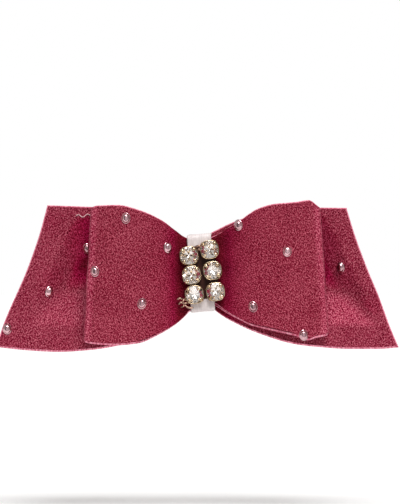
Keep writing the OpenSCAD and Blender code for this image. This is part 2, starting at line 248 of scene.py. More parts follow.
def gap_shade_material():
    """A dark glossy finish with a slight unevenness: painted shade for the gaps between the cups."""
    material, shader, add, link = new_material("gap_shade_dark")
    place = add("TexCoord").outputs["Object"]
    lumps = add("TexNoise", {"Vector": place, "Scale": 700.0, "Detail": 3.0}).outputs["Fac"]
    link(ramp(add, lumps, [(0.3, (0.020, 0.006, 0.004)), (0.7, (0.052, 0.017, 0.012))]), "Base Color")
    bump = add("Bump", {"Height": lumps, "Strength": 0.4, "Distance": 0.1 * MM})
    link(bump.outputs["Normal"], "Normal")
    link(map_range(add, lumps, 0.35, 0.55), "Roughness")
    shader.inputs["Specular IOR Level"].default_value = 0.12
    return material


def thread_material(name, dark, light):
    """Twisted thread, with painted shade darker between its plies."""
    material, shader, add, link = new_material(name)
    place = add("TexCoord").outputs["Object"]
    ply = add("TexWave", {"Vector": place, "Scale": 900.0, "Distortion": 1.0},
              bands_direction="DIAGONAL").outputs["Fac"]
    link(ramp(add, ply, [(0.2, dark), (0.8, light)]), "Base Color")
    bump = add("Bump", {"Height": ply, "Strength": 0.5, "Distance": 0.1 * MM})
    link(bump.outputs["Normal"], "Normal")
    shader.inputs["Roughness"].default_value = 0.7
    return material


def crystal_material():
    """Clear cut glass with faint inner cloud."""
    material, shader, add, link = new_material("crystal_clear")
    place = add("TexCoord").outputs["Object"]
    cloud = add("TexNoise", {"Vector": place, "Scale": 350.0, "Detail": 2.0}).outputs["Fac"]
    link(ramp(add, cloud, [(0.3, (0.93, 0.91, 0.88)), (0.7, (1.0, 1.0, 1.0))]), "Base Color")
    link(map_range(add, cloud, 0.0, 0.04), "Roughness")
    shader.inputs["IOR"].default_value = 1.36
    shader.inputs["Transmission Weight"].default_value = 1.0
    return material


def foil_material():
    """Mirror foil on the back of a crystal."""
    material, shader, add, link = new_material("crystal_foil")
    place = add("TexCoord").outputs["Object"]
    cloud = add("TexNoise", {"Vector": place, "Scale": 500.0, "Detail": 2.0}).outputs["Fac"]
    link(ramp(add, cloud, [(0.3, (0.90, 0.83, 0.78)), (0.7, (1.0, 0.965, 0.94))]), "Base Color")
    link(map_range(add, cloud, 0.03, 0.16), "Roughness")
    shader.inputs["Metallic"].default_value = 1.0
    return material


# ---------------------------------------------------------------- mesh helpers

def add_object(name, verts, faces, materials, face_materials=None, smooth=True):
    """An object from vertices in metres; face_materials numbers each face's material."""
    mesh = bpy.data.meshes.new(name)
    mesh.from_pydata([tuple(v) for v in verts], [], faces)
    for material in materials:
        mesh.materials.append(material)
    mesh.polygons.foreach_set("use_smooth", [smooth] * len(mesh.polygons))
    if face_materials is not None:
        mesh.polygons.foreach_set("material_index", face_materials)
    mesh.update()
    piece = bpy.data.objects.new(name, mesh)
    bpy.context.scene.collection.objects.link(piece)
    return piece


def solid_piece(name, mesh, material):
    """A smooth object from a bmesh in millimetres, which is freed."""
    data = bpy.data.meshes.new(name)
    mesh.to_mesh(data)
    mesh.free()
    data.transform(Matrix.Scale(MM, 4))
    data.materials.append(material)
    data.polygons.foreach_set("use_smooth", [True] * len(data.polygons))
    piece = bpy.data.objects.new(name, data)
    bpy.context.scene.collection.objects.link(piece)
    return piece


def skin(mesh, rings):
    """Faces between each ring of vertices and the next."""
    for one, two in zip(rings, rings[1:]):
        for k in range(len(one)):
            after = (k + 1) % len(one)
            mesh.faces.new((one[k], one[after], two[after], two[k]))


def cap(mesh, rings):
    """A face over each end of a skin."""
    mesh.faces.new(rings[0][::-1])
    mesh.faces.new(rings[-1])


def grid_directions(points, closed):
    """Unit vectors along a grid of points, across it and square to it; closed joins its two ends."""
    along = np.roll(points, -1, 0) - np.roll(points, 1, 0) if closed else np.gradient(points, axis=0)
    across = np.gradient(points, axis=1)
    return [way / np.linalg.norm(way, axis=2, keepdims=True)
            for way in (along, across, np.cross(along, across))]


def cloth_piece(name, points, strip, thickness, face, edge, closed=False, painted_shading=None):
    """A closed mesh of cloth round a grid of mid-surface points in millimetres.

    points is [along, across, xyz] and strip the same grid's flat coordinates in
    millimetres. The cut edges are rounded and wear the edge material. The last
    argument is the light and shade painted into the cloth's colour at each grid
    point, from 0 to 1.
    """
    rows, cols = points.shape[:2]
    along, across, normal = grid_directions(points, closed)
    half = thickness / 2

    # how far both faces are drawn in from each cut edge, in half thicknesses
    bottom_round, top_round, end_round = 1.0, 0.5, 0.6
    inset = np.zeros((rows, cols, 3))
    inset[:, 0] += across[:, 0] * half * bottom_round
    inset[:, -1] -= across[:, -1] * half * top_round
    if not closed:
        inset[0] += along[0] * half * end_round
        inset[-1] -= along[-1] * half * end_round

    # three layers: the front face, the back face, and the mid-surface that the cut edges bulge to
    front = points + normal * half + inset
    back = points - normal * half + inset
    verts = np.concatenate([front.reshape(-1, 3), back.reshape(-1, 3), points.reshape(-1, 3)])
    count = rows * cols

    def index(layer, i, j):
        return layer * count + (i % rows) * cols + j

    faces = []
    kinds = []
    last = rows if closed else rows - 1
    for i in range(last):
        for j in range(cols - 1):
            faces.append((index(0, i, j), index(0, i + 1, j), index(0, i + 1, j + 1), index(0, i, j + 1)))
            faces.append((index(1, i, j), index(1, i, j + 1), index(1, i + 1, j + 1), index(1, i + 1, j)))
            kinds += [0, 0]

    def side(a, b, flip):
        for first, second in ((0, 2), (2, 1)):
            quad = (index(first, *a), index(second, *a), index(second, *b), index(first, *b))
            faces.append(quad[::-1] if flip else quad)
            kinds.append(1)

    for i in range(last):
        side((i, 0), (i + 1, 0), False)
        side((i, cols - 1), (i + 1, cols - 1), True)
    if not closed:
        for j in range(cols - 1):
            side((0, j), (0, j + 1), True)
            side((rows - 1, j), (rows - 1, j + 1), False)

    used = sorted({v for quad in faces for v in quad})
    renumber = {v: k for k, v in enumerate(used)}
    faces = [tuple(renumber[v] for v in quad) for quad in faces]
    piece = add_object(name, verts[used] * MM, faces, [face, edge], kinds)
    flat = np.concatenate([strip.reshape(-1, 2)] * 3)[used]
    layer = piece.data.uv_layers.new(name="Weave")
    corners = np.zeros(len(piece.data.loops), dtype=int)
    piece.data.loops.foreach_get("vertex_index", corners)
    layer.data.foreach_set("uv", flat[corners].ravel())
    # the painted light and shade, kept on the mesh; the back face is left unshaded
    if painted_shading is not None:
        shading_value = piece.data.attributes.new("PaintedShading", "FLOAT", "POINT")
        back = np.full(count, UNSHADED_MARK)
        shading_value.data.foreach_set("value", np.concatenate([painted_shading.ravel(), back, painted_shading.ravel()])[used])
    fix_normals(piece)
    return piece


def painted_shading_at(points, light_slope, shade_slope, shading_shift):
    """Painted light and shade at each point, as crepe_material reads it.

    Beside the ribbon it paints shade into the gathers. Cloth that leans back by the light
    slope or more, facing up, gets painted highlight, and cloth that leans forward by the shade
    slope or more gets painted shade. The last argument adds painted highlight besides, or
    painted shade where it is negative.
    """
    x, y, z = points[:, :, 0], points[:, :, 1], points[:, :, 2]
    ribbon_edge, fade = by_side(x, 6.4, 5.2), by_side(x, 3.0, 4.2)
    # painted shade of the gathers, fading out away from the ribbon
    gather_shade = np.exp(-np.maximum(np.abs(x) - ribbon_edge, 0) / fade)
    # painted highlight where the cloth leans back to face up, painted shade where it leans forward
    slope = np.gradient(y, axis=1) / np.gradient(z, axis=1)
    to_shade, to_light = UNSHADED_MARK - SHADED_MARK, 1 - UNSHADED_MARK
    shading_value = UNSHADED_MARK + np.where(slope < 0, to_shade * np.maximum(slope / shade_slope, -1),
                              to_light * np.minimum(slope / light_slope, 1))
    return np.clip((shading_value + to_shade * shading_shift) * (1 - gather_shade), 0, 1)


def fix_normals(piece):
    """Turns every face of a closed piece outwards."""
    mesh = bmesh.new()
    mesh.from_mesh(piece.data)
    bmesh.ops.recalc_face_normals(mesh, faces=mesh.faces)
    mesh.to_mesh(piece.data)
    mesh.free()


def resample(path, step):
    """Points at an even spacing along a closed path."""
    ring = np.vstack([path, path[:1]])
    length = np.concatenate([[0], np.cumsum(np.linalg.norm(np.diff(ring, axis=0), axis=1))])
    count = int(round(length[-1] / step))
    at = np.linspace(0, length[-1], count, endpoint=False)
    return np.stack([np.interp(at, length, ring[:, k]) for k in range(ring.shape[1])], axis=1), at


def slow_waves(x, z, amount, seed):
    """Gentle unevenness of a hand-made fold: a few waves in random directions, averaged."""
    draw = random.Random(seed)
    total = np.zeros(np.broadcast(x, z).shape)
    waves = 5
    for _ in range(waves):
        turn = draw.uniform(0, 2 * math.pi)
        pitch = draw.uniform(9, 26)
        total = total + np.sin((x * math.cos(turn) + z * math.sin(turn)) * 2 * math.pi / pitch
                               + draw.uniform(0, 6))
    return total * amount / waves


# ---------------------------------------------------------------- the bow

# Half the width of the pinch, and the thickness and width of the strips
PINCH_HALF = 3.2
FABRIC_T = 0.95
STRIP_W = 37.0
# Spacing of the cloth's grid points
GRID_STEP = 0.5
# Radius of the base plate's bend
PLATE_RADIUS = 150.0

# Edges of the strips: distance from the middle, and distance above or below the middle line
LEFT_TOP = [(0, 9.2), (3.4, 9.6), (11, 14.6), (17, 17.2), (23, 18.5), (30.2, 18.3)]
LEFT_BOTTOM = [(0, 8.6), (3.2, 9.6), (4.6, 11.0), (7.2, 13.2), (11, 15.6), (16.5, 18.0), (22, 18.5),
               (30.5, 17.9)]
RIGHT_TOP = [(0, 9.6), (3, 10.2), (9, 13.6), (15.4, 17.6), (20, 18.8), (26, 19.3), (29.6, 19.8),
             (31, 19.0), (32.4, 17.7)]
RIGHT_TOP_BEHIND = [(0, 10.6), (2.2, 11.2), (7.4, 13.6), (11.4, 15.1), (17, 17.0), (25, 18.6), (32, 17.6)]
RIGHT_BOTTOM = [(0, 6.9), (3.4, 7.55), (6.1, 9.3), (8.7, 11.0), (12.7, 13.2), (19.3, 14.9), (24, 16.1),
                (26.9, 17.2), (29, 16.5), (33, 15.9)]
RIGHT_BOTTOM_BEHIND = [(0, 7.4), (3.4, 8.2), (7.4, 10.6), (12, 12.8), (19, 14.8), (26, 15.9), (33, 15.7)]
LEFT_TAIL_TOP = [(0, 9.0), (3.2, 9.3), (11, 13.8), (20, 17.4), (28, 18.0), (41, 18.5)]
LEFT_TAIL_BOTTOM = [(0, 8.3), (3.2, 9.0), (11, 14.6), (21.7, 18.6), (29.7, 19.9), (38, 20.4),
                    (46, 20.0), (54.5, 19.1)]
RIGHT_TAIL_TOP = [(0, 9.4), (3.2, 10.0), (12, 14.4), (20, 17.2), (28, 17.9), (38.4, 17.8)]
RIGHT_TAIL_BOTTOM = [(0, 7.8), (3.2, 9.2), (4.8, 10.4), (7.4, 12.0), (15.4, 15.6), (25, 18.4), (31, 19.1),
                     (39, 19.6), (47, 19.6), (52.2, 19.2)]
# Slanted ends of the tails: height, and distance from the middle
LEFT_END = [(-19, 54.5), (-13, 52.7), (2.7, 46.1), (10.6, 43.2), (18.5, 40.9)]
RIGHT_END = [(-19, 52.2), (-13.2, 49.9), (-5.3, 47.1), (2.7, 43.8), (10.6, 40.8), (18, 38.4)]


def by_side(x, left, right):
    """left for the left half of the bow and right for the right half, blended across the middle."""
    side = smooth_step((x + PINCH_HALF) / (2 * PINCH_HALF))
    return left * (1 - side) + right * side


def loop_half(reach):
    """Mid-line of one loop from the front centre round its fold to the back centre.

    Columns are the distance from the middle, the depth, and 0 in front to 1 behind.
    """
    crease_w = 1.3
    fold_x = reach - crease_w - FABRIC_T / 2
    front_d, back_d = 8.1, 3.2
    front_line = [(0, 4.4), (3.3, 4.5), (6, 5.8), (8, 7.6), (11, 8.8), (17, 9.5), (24, 9.2),
                  (fold_x, front_d)]
    back_line = [(0, 2.7), (10, 2.65), (20, 2.7), (fold_x, back_d)]
    x = np.linspace(0, fold_x, 70)
    turn = np.linspace(-np.pi / 2, np.pi / 2, 16)[1:-1]
    flat = 0.7
    across = np.sign(np.cos(turn)) * np.abs(np.cos(turn)) ** flat
    down = np.sign(np.sin(turn)) * np.abs(np.sin(turn)) ** flat
    middle, half = (front_d + back_d) / 2, (front_d - back_d) / 2
    return np.concatenate([
        np.stack([x, smooth_curve(front_line, x), np.zeros_like(x)], 1),
        np.stack([fold_x + crease_w * across, middle - half * down, 0.5 + turn / np.pi], 1),
        np.stack([x, smooth_curve(back_line, x), np.ones_like(x)], 1)[::-1]])


def front_bow_points():
    """Grid of the looped strip: both loops and the gathered centre, as one closed band.

    Returned with it are its flat coordinates, a painted highlight along the folds, and its length.
    """
    low, high = box_mm("front_bow")
    # each fold leans outwards at its foot, which is what reaches the side of the CAD box
    lean_right, lean_left = math.tan(math.radians(3.9)), math.tan(math.radians(3.1))
    foot_right, foot_left = 17, 18
    right = loop_half(high[0] - foot_right * lean_right + 0.3)
    left = loop_half(-low[0] - foot_left * lean_left + 0.1)
    left[:, 0] *= -1
    path = np.concatenate([right, left[::-1][1:-1]])
    line, at = resample(path, GRID_STEP)
    x = line[:, 0]
    reach = np.abs(x)
    behind = line[:, 2]

    def edge(front, back):
        return smooth_curve(front, reach) * (1 - behind) + smooth_curve(back, reach) * behind

    right_top = edge(RIGHT_TOP, RIGHT_TOP_BEHIND)
    right_bottom = edge(RIGHT_BOTTOM, RIGHT_BOTTOM_BEHIND)
    top = by_side(x, smooth_curve(LEFT_TOP, reach) - 0.8 * behind, right_top)
    bottom = by_side(x, smooth_curve(LEFT_BOTTOM, reach) - 0.6 * behind, right_bottom)

    cols = int(STRIP_W / GRID_STEP) + 1
    v = np.linspace(-1, 1, cols)[None, :]
    z = ((top - bottom) / 2)[:, None] + ((top + bottom) / 2)[:, None] * v
    tangent = np.roll(line[:, :2], -1, 0) - np.roll(line[:, :2], 1, 0)
    tangent /= np.linalg.norm(tangent, axis=1, keepdims=True)
    inward = np.stack([tangent[:, 1], -tangent[:, 0]], 1)
    # pleats and a shallow valley that fade away from the gathered centre
    away = reach[:, None]
    gather = np.clip(1 - (away - PINCH_HALF) / 10, 0, 1)
    pleats = 0.35 * np.cos(3 * np.pi * v + 0.5) * gather ** 2
    valley = 0.8 * (0.5 + 0.5 * np.cos(np.pi * v)) * gather * np.clip((away - 4) / 5, 0, 1)
    calm = np.clip((away - 2) / 8, 0, 1)
    shift = pleats + valley + slow_waves(x[:, None], z, 0.18, 4) * calm
    across = x[:, None] + inward[:, 0:1] * shift
    depth = line[:, 1:2] + inward[:, 1:2] * shift
    lean = np.where(x > 0, lean_right, -lean_left) * np.clip(reach / 28, 0, 1) ** 1.5
    points = np.stack([across - lean[:, None] * z, PLATE_Y - depth, z], axis=2)
    strip = np.stack(np.broadcast_arrays(at[:, None], v * STRIP_W / 2), axis=2)
    # painted highlight along the outer folds of the loops
    outer = np.where(x > 0, reach - right[:, 0].max(), reach + left[:, 0].min())
    fold_highlight = smooth_step((outer + 2.2) / 1.8)
    return points, strip, fold_highlight[:, None], at[-1] + GRID_STEP


def tail_recess(x, z):
    """How far a tail sinks behind its rim.

    Slopes from its bottom, top and end meet beside the loop, and stay clear of the base plate.
    """
    reach = np.abs(x)
    # each is the distance inwards from a rim times a steepness
    from_bottom = (z + 13.4) * by_side(x, 0.30, 0.33)
    from_top = by_side(x, (15.5 - z) * 0.26, (18.5 - z - 0.6 * (reach - 33)) * 0.21)
    from_end = (40.6 - by_side(x, 0.42, 0.5) * z - reach) * 0.5
    sink = soft_min(soft_min(from_bottom, from_top, 1.4), from_end, 1.6)
    plate_gap = 0.35 + reach ** 2 / (2 * PLATE_RADIUS)
    sink = soft_min(sink, plate_gap, 0.6)
    return -soft_min(-sink, 0 * sink, 0.2) * smooth_step((reach - 9) / 14)


def tails_points():
    """Grid of the flat strip behind the loops, with slanted ends and a scoop in each tail.

    Returned with it are its flat coordinates, and painted shade deep in the scoops.
    """
    low, high = box_mm("tails")
    widest, end_top, end_bottom = 38, 18.3, 19.0
    cols = int(widest / GRID_STEP) + 1
    rows = int((high[0] - low[0]) / GRID_STEP) + 1
    v = np.linspace(-1, 1, cols)[None, :]
    u = np.linspace(-1, 1, rows)[:, None]
    end_z = np.where(v > 0, v * end_top, v * end_bottom)
    x = np.where(u < 0, u * smooth_curve(LEFT_END, end_z), u * smooth_curve(RIGHT_END, end_z))
    reach = np.abs(x)
    top = by_side(x, smooth_curve(LEFT_TAIL_TOP, reach), smooth_curve(RIGHT_TAIL_TOP, reach))
    bottom = by_side(x, smooth_curve(LEFT_TAIL_BOTTOM, reach), smooth_curve(RIGHT_TAIL_BOTTOM, reach))
    z = (top - bottom) / 2 + (top + bottom) / 2 * v
    gather = np.clip(1 - (reach - PINCH_HALF) / 13, 0, 1) ** 1.6
    rim_depth = 1.45
    recess = tail_recess(x, z)
    depth = rim_depth - recess + 0.2 * np.cos(3 * np.pi * v) * gather ** 2
    depth = depth + slow_waves(x, z, 0.16, 9) * np.clip((reach - 30) / 6, 0, 1)
    points = np.stack([x, PLATE_Y - depth, z], axis=2)
    strip = np.stack(np.broadcast_arrays(x, v * STRIP_W / 2), axis=2)
    # painted shade deep in the scoops
    recess_shade = smooth_step((recess - 2.2) / 1.2)
    return points, strip, recess_shade


def wrap_points():
    """Grid of the satin ribbon, closed round the gathered bow and the base plate.

    Returned with it are its flat coordinates and its thickness.
    """
    low, high = box_mm("centre_wrap")
    thick = 0.45
    front_y = low[1] + thick / 2
    top_z = high[2] - thick / 2 + 0.25
    bottom_z = low[2] + thick / 2 + 0.9
    plate_half = box_mm("base_plate")[1][2] + 0.35
    corners = [(front_y, bottom_z, 1.0), (front_y, top_z, 1.0), (PLATE_Y - 0.4, top_z, 0.8),
               (high[1] - thick / 2, plate_half, 0.5), (high[1] - thick / 2, -plate_half, 0.5),
               (PLATE_Y - 0.4, bottom_z, 0.8)]
    line, at = resample(rounded_path(corners), 0.35)
    v = np.linspace(-1, 1, 19)[None, :]
    y = line[:, 0:1]
    z = line[:, 1:2]
    forward = smooth_step((PLATE_Y - y) / 5)
    width = 6.4
    # in front the ribbon turns a few degrees, and carries two soft lengthwise creases
    turn = math.radians(6) * forward
    across = v * width / 2
    x = across * np.cos(turn) - 0.055 * z * forward - 0.22 * forward
    crease = 0.10 * np.cos(2.5 * np.pi * v + 0.4) * forward
    points = np.stack(np.broadcast_arrays(x, y + crease, z + across * np.sin(turn)), axis=2)
    strip = np.stack(np.broadcast_arrays(at[:, None], across), axis=2)
    return points, strip, thick


def rounded_path(corners):
    """A closed path of (y, z) points with its corners rounded to the radius given with each."""
    path = []
    for k, (y, z, radius) in enumerate(corners):
        here = np.array((y, z))
        before = np.array(corners[k - 1][:2]) - here
        after = np.array(corners[(k + 1) % len(corners)][:2]) - here
        start = here + before / np.linalg.norm(before) * radius
        end = here + after / np.linalg.norm(after) * radius
        for t in np.linspace(0, 1, 7):
            path.append((1 - t) ** 2 * start + 2 * t * (1 - t) * here + t * t * end)
    return np.array(path)


# ---------------------------------------------------------------- hard trim

# Turn of each cup, and of the dark bed of painted shade behind them, seen from the front
CUP_LEAN = math.radians(8)


def round_brilliant(radius, crown, pavilion):
    """Vertices, faces and face kinds (0 crown, 1 foiled back) of a cut stone, table towards +Z."""
    def ring(r, z, count, offset):
        return [(r * math.cos(math.radians(offset + k * 360 / count)),
                 r * math.sin(math.radians(offset + k * 360 / count)), z) for k in range(count)]

    verts = (ring(radius * 0.55, crown, 8, 0) + ring(radius * 0.80, crown * 0.58, 8, 22.5)
             + ring(radius, 0, 16, 0) + ring(radius * 0.45, -pavilion * 0.62, 8, 22.5)
             + [(0, 0, -pavilion)])
    # the first vertex of each ring, and the point at the back
    table, star, girdle, lower, culet = 0, 8, 16, 32, 40
    faces = [tuple(range(8))]
    kinds = [0]
    for k in range(8):
        after, before = (k + 1) % 8, (k - 1) % 8
        corner, next_corner = girdle + 2 * k, girdle + (2 * k + 2) % 16
        faces += [(table + k, star + k, table + after), (table + k, star + before, corner, star + k),
                  (star + k, corner, corner + 1), (star + k, corner + 1, next_corner),
                  (culet, lower + k, corner, lower + before), (lower + k, corner + 1, corner),
                  (lower + k, next_corner, corner + 1)]
        kinds += [0] * 4 + [1] * 3
    return verts, faces, kinds


def forward_matrix(place, turn=0.0):
    """Puts a shape that was made with +Z up at place, with its +Z to the front (-Y)."""
    return (Matrix.Translation(place) @ Matrix.Rotation(math.radians(90), 4, "X")
            @ Matrix.Rotation(turn, 4, "Z"))


def bake_place(piece, matrix):
    """Puts a piece in its place by moving its mesh."""
    piece.data.transform(matrix)
    piece.data.update()
    fix_normals(piece)


def make_crystal(node, materials, turn):
    """A cut stone, turned by turn and tipped a few degrees by it, with foil on its back."""
    low, high = box_mm(node)
    centre = (low + high) / 2
    radius = (high[0] - low[0]) / 2
    crown, pavilion = 0.8, 1.25
    verts, faces, kinds = round_brilliant(radius, crown, pavilion)
    piece = add_object(node + "_cut", np.array(verts) * MM, faces, materials, kinds, smooth=False)
    place = Vector((centre[0], low[1] + crown, centre[2])) * MM
    tilt = Matrix.Rotation(math.radians(5) * math.cos(turn * 3), 4, "X")
    bake_place(piece, forward_matrix(place, turn) @ tilt)
    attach(piece, ROOT)
    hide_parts(node)


def rounded_square(half, corner, count):
    """Points round a square, anticlockwise; corner rounds it, from sharp at 0 to a circle at 0.5."""
    ring = []
    power = 1 / corner
    for k in range(count):
        a = 2 * math.pi * (k + 0.5) / count
        size = (abs(math.cos(a)) ** power + abs(math.sin(a)) ** power) ** (-corner)
        ring.append((half * size * math.cos(a), half * size * math.sin(a)))
    return ring


def make_cup(node, material, lean):
    """A claw setting: a rounded square cup with a claw at each corner."""
    low, high = box_mm(node)
    centre = (low + high) / 2
    half = (high[0] - low[0]) / 2 * 0.98
    depth = high[1] - low[1]
    outline = rounded_square(half, corner=0.36, count=32)
    # share of the outline and height, up the outside, over the rim and down the inside
    profile = [(0.62, 0.0), (0.84, 0.08), (0.95, 0.5), (0.99, 1.05), (0.99, 1.32),
               (0.93, 1.40), (0.88, 1.32), (0.86, 0.9), (0.74, 0.35)]
    mesh = bmesh.new()
    rings = [[mesh.verts.new((x * size, y * size, z)) for x, y in outline] for size, z in profile]
    skin(mesh, rings)
    cap(mesh, rings)
    for k in range(4):
        claw(mesh, math.radians(45 + 90 * k), half, depth)
    piece = solid_piece(node + "_set", mesh, material)
    bake_place(piece, forward_matrix(Vector((centre[0], high[1], centre[2])) * MM, lean))
    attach(piece, ROOT)
    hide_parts(node)


def claw(mesh, angle, half, depth):
    """One claw that rises at a cup's corner and bends over the stone to a rounded tip."""
    # distance from the cup's axis, height and radius
    spine = [(half + 0.12, 0.5, 0.30), (half + 0.16, 1.4, 0.36), (half + 0.02, depth - 0.30, 0.42),
             (half - 0.32, depth - 0.02, 0.44), (half - 0.68, depth + 0.02, 0.36),
             (half - 0.92, depth - 0.08, 0.16)]
    sides = 10
    flatness = 0.7
    rings = []
    for k, (r, z, size) in enumerate(spine):
        before = spine[max(k - 1, 0)]
        after = spine[min(k + 1, len(spine) - 1)]
        direction = Vector((after[0] - before[0], 0, after[1] - before[1])).normalized()
        normal = Vector((0, 1, 0)).cross(direction)
        ring = []
        for s in range(sides):
            b = 2 * math.pi * s / sides
            local = Vector((r, 0, z)) + normal * (math.cos(b) * size * flatness)
            local += Vector((0, math.sin(b) * size, 0))
            ring.append(mesh.verts.new(Matrix.Rotation(angle, 3, "Z") @ local))
        rings.append(ring)
    skin(mesh, rings)
    cap(mesh, rings)


def tube_mesh(name, routes, material, closed=False):
    """Round wires along routes of (point, radius) in millimetres, as one piece.

    closed joins each route's end to its start.
    """
    sides = 10
    mesh = bmesh.new()
    for route in routes:
        places = [Vector(point) for point, _ in route]
        rings = []
        count = len(route)
        for k, (_, radius) in enumerate(route):
            after = (k + 1) % count if closed else min(k + 1, count - 1)
            before = (k - 1) % count if closed else max(k - 1, 0)
            along = (places[after] - places[before]).normalized()
            across = Vector((1, 0, 0)) if closed or abs(along.y) > 0.9 else Vector((0, 1, 0))
            side = along.cross(across).normalized()
            up = side.cross(along)
            rings.append([mesh.verts.new(places[k] + (side * math.cos(b) + up * math.sin(b)) * radius)
                          for b in np.linspace(0, 2 * math.pi, sides, endpoint=False)])
        if closed:
            skin(mesh, rings + rings[:1])
        else:
            skin(mesh, rings)
            cap(mesh, rings)
    piece = solid_piece(name, mesh, material)
    fix_normals(piece)
    return piece


def wire(points, radius):
    """A route for tube_mesh through a few points, smoothed, with both ends tapered."""
    tip = 0.45
    points = np.array(points, dtype=float)
    at = np.arange(len(points))
    fine = np.linspace(0, len(points) - 1, (len(points) - 1) * 4 + 1)
    path = np.stack([smooth_curve(np.stack([at, points[:, k]], 1), fine) for k in range(3)], 1)
    last = len(fine) - 1
    return [(p, radius * (tip if k in (0, last) else 1.0)) for k, p in enumerate(path)]


def make_gap_shade_bed(material):
    """A dark bed of painted shade behind the cup chains, a low mound within the cups' outline that shows
    in the gaps.
    """
    low, _ = box_mm("cup_left_bottom")
    _, high = box_mm("cup_right_top")
    wrap_front = box_mm("centre_wrap")[0][1]
    half_w, half_h = 3.9, (high[2] - low[2]) / 2 - 1.4
    centre = Vector((0.1, wrap_front - 0.02, (high[2] + low[2]) / 2))
    sides, corner, first = 48, 0.35, 0.02
    rings = []
    mesh = bmesh.new()
    for size, z in [(1.0, -0.1), (1.0, 0.16), (0.97, 0.3), (0.90, 0.36), (0.5, 0.4)]:
        ring = []
        for a in np.linspace(first, 2 * math.pi + first, sides, endpoint=False):
            across = math.copysign(abs(math.cos(a)) ** corner, math.cos(a))
            up = math.copysign(abs(math.sin(a)) ** corner, math.sin(a))
            ring.append(mesh.verts.new((half_w * across * size, half_h * up * size, z)))
        rings.append(ring)
    skin(mesh, rings)
    cap(mesh, rings)
    piece = solid_piece("gap_shade_bed", mesh, material)
    bake_place(piece, forward_matrix(centre * MM, CUP_LEAN))
    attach(piece, ROOT)


def bent_wires(start, bends):
    """Routes for tube_mesh: each bend is its points, measured from start, and its radius."""
    return [wire(np.add(start, points), radius) for points, radius in bends]


def make_chain_end(material):
    """The chain's cut end at its lower left: snipped claws and wire, splayed over the fabric."""
    low, high = box_mm("chain_tail")
    start = (high[0], low[1], (low[2] + high[2]) / 2 - 0.5)
    bends = [([(0.5, 0.5, 0.4), (-0.8, 0.2, 0.5), (-1.7, -0.2, 0.9), (-2.5, 0.1, 0.5)], 0.24),
             ([(0.6, 0.5, -0.2), (-0.6, 0.1, -0.5), (-1.5, -0.1, -0.2), (-2.1, 0.3, -0.9)], 0.24),
             ([(-0.3, 0.3, -0.6), (-0.9, -0.1, -1.3), (-1.6, 0.2, -1.5)], 0.18),
             ([(-0.4, 0.1, 0.9), (-0.9, -0.3, -0.1), (-0.5, 0, -0.9)], 0.2),
             ([(-0.5, 0.1, -0.8), (0.3, -0.1, -1.5), (1.2, 0, -1.7), (1.8, 0.3, -1.5)], 0.24)]
    piece = tube_mesh("chain_cut_end", bent_wires(start, bends), material)
    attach(piece, ROOT)
    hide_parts("chain_tail")


def make_chain_top(material):
    """The bent wire end of the left column, between the two top cups."""
    low, high = box_mm("cup_left_top")
    start = (high[0], low[1], high[2])
    bends = [([(-0.9, 0.9, -0.6), (-0.5, 0.2, -0.1), (0.2, 0, 0.1), (0.6, 0.3, -0.5)], 0.26),
             ([(-0.3, 0.9, -1.3), (0.1, 0.1, -0.8), (0.5, 0.4, -1.3)], 0.22)]
    piece = tube_mesh("chain_top_end", bent_wires(start, bends), material)
    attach(piece, ROOT)


def make_winding(material):
    """The gathering thread: turns of thread side by side round the pinched strips, under the ribbon."""
    low, high = box_mm("pinch_thread")
    radius = 0.2
    front, back = low[1] + radius, high[1] - radius
    top, bottom = high[2] - 0.35, low[2] + 1.0
    loop = rounded_path([(front, bottom, 1.4), (front, top, 1.4), (back, top, 0.7), (back, bottom, 0.7)])
    turns = int((high[0] - low[0]) / (2 * radius))
    lay = random.Random(5)
    routes = []
    for k in range(turns):
        x = low[0] + radius * (2 * k + 1)
        slip = lay.uniform(-0.08, 0.08)
        routes.append([((x + slip * math.sin(i * 0.7), y, z), radius) for i, (y, z) in enumerate(loop)])
    piece = tube_mesh("gathering_thread", routes, material, closed=True)
    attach(piece, ROOT)
    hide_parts("pinch_thread")


def make_stray_fibre(cloth, material):
    """A short wavy fibre caught on the left tail beside the loop."""
    start_x, start_z, length, wave = -33.4, 15.6, 4.0, 0.35
    lift, radius, tip = 0.10, 0.13, 0.06
    route = []
    for t in np.linspace(0, 1, 22):
        x = start_x + length * t
        z = start_z + wave * math.sin(3.2 * math.pi * t) + 0.25 * t
        hit, normal = surface_at(cloth, x, z)
        route.append((tuple(hit / MM + normal * lift), radius if 0 < t < 1 else tip))
    piece = tube_mesh("stray_fibre", [route], material)
    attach(piece, ROOT)


# Search trees of the cloth pieces, each made when it is first needed
SURFACES = {}


def surface_at(piece, x, z):
    """The front-most point of a piece, in metres, and its normal, at x and z in millimetres."""
    if piece.name not in SURFACES:
        SURFACES[piece.name] = BVHTree.FromPolygons([v.co for v in piece.data.vertices],
                                                    [tuple(p.vertices) for p in piece.data.polygons])
    hit, normal, _, _ = SURFACES[piece.name].ray_cast(Vector((x, -100, z)) * MM, Vector((0, 1, 0)))
    if normal.y > 0:
        normal = -normal
    return hit, normal


